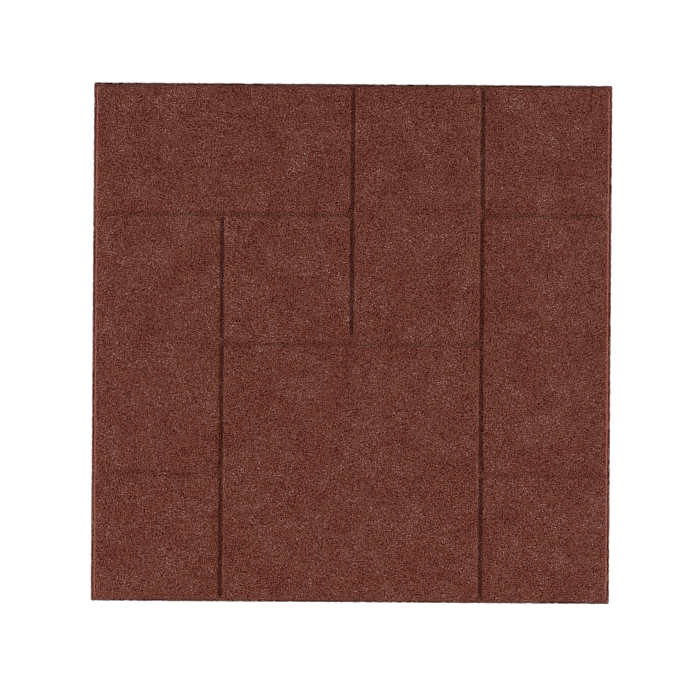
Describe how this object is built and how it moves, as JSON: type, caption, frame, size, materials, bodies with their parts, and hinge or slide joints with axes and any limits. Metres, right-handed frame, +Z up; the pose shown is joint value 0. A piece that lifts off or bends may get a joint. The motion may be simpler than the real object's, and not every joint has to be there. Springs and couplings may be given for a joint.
{
  "type": "rubber paver",
  "caption": "Square flat paver of bonded crumb rubber with a raised brick pattern, rounded brick edges and shallow grooves on its upper face.",
  "frame": {"origin": "centre of the underside, which lies on the ground", "axes": "+Z up out of the patterned face, +X to the right and +Y to the top of the pattern seen from above"},
  "size_m": [0.4064, 0.4064, 0.0191],
  "materials": {
    "crumb_rubber": "matt red-brown bonded crumb rubber with a fine granular surface"
  },
  "bodies": {
    "root": {"paver": "crumb_rubber"}
  },
  "joints": []
}
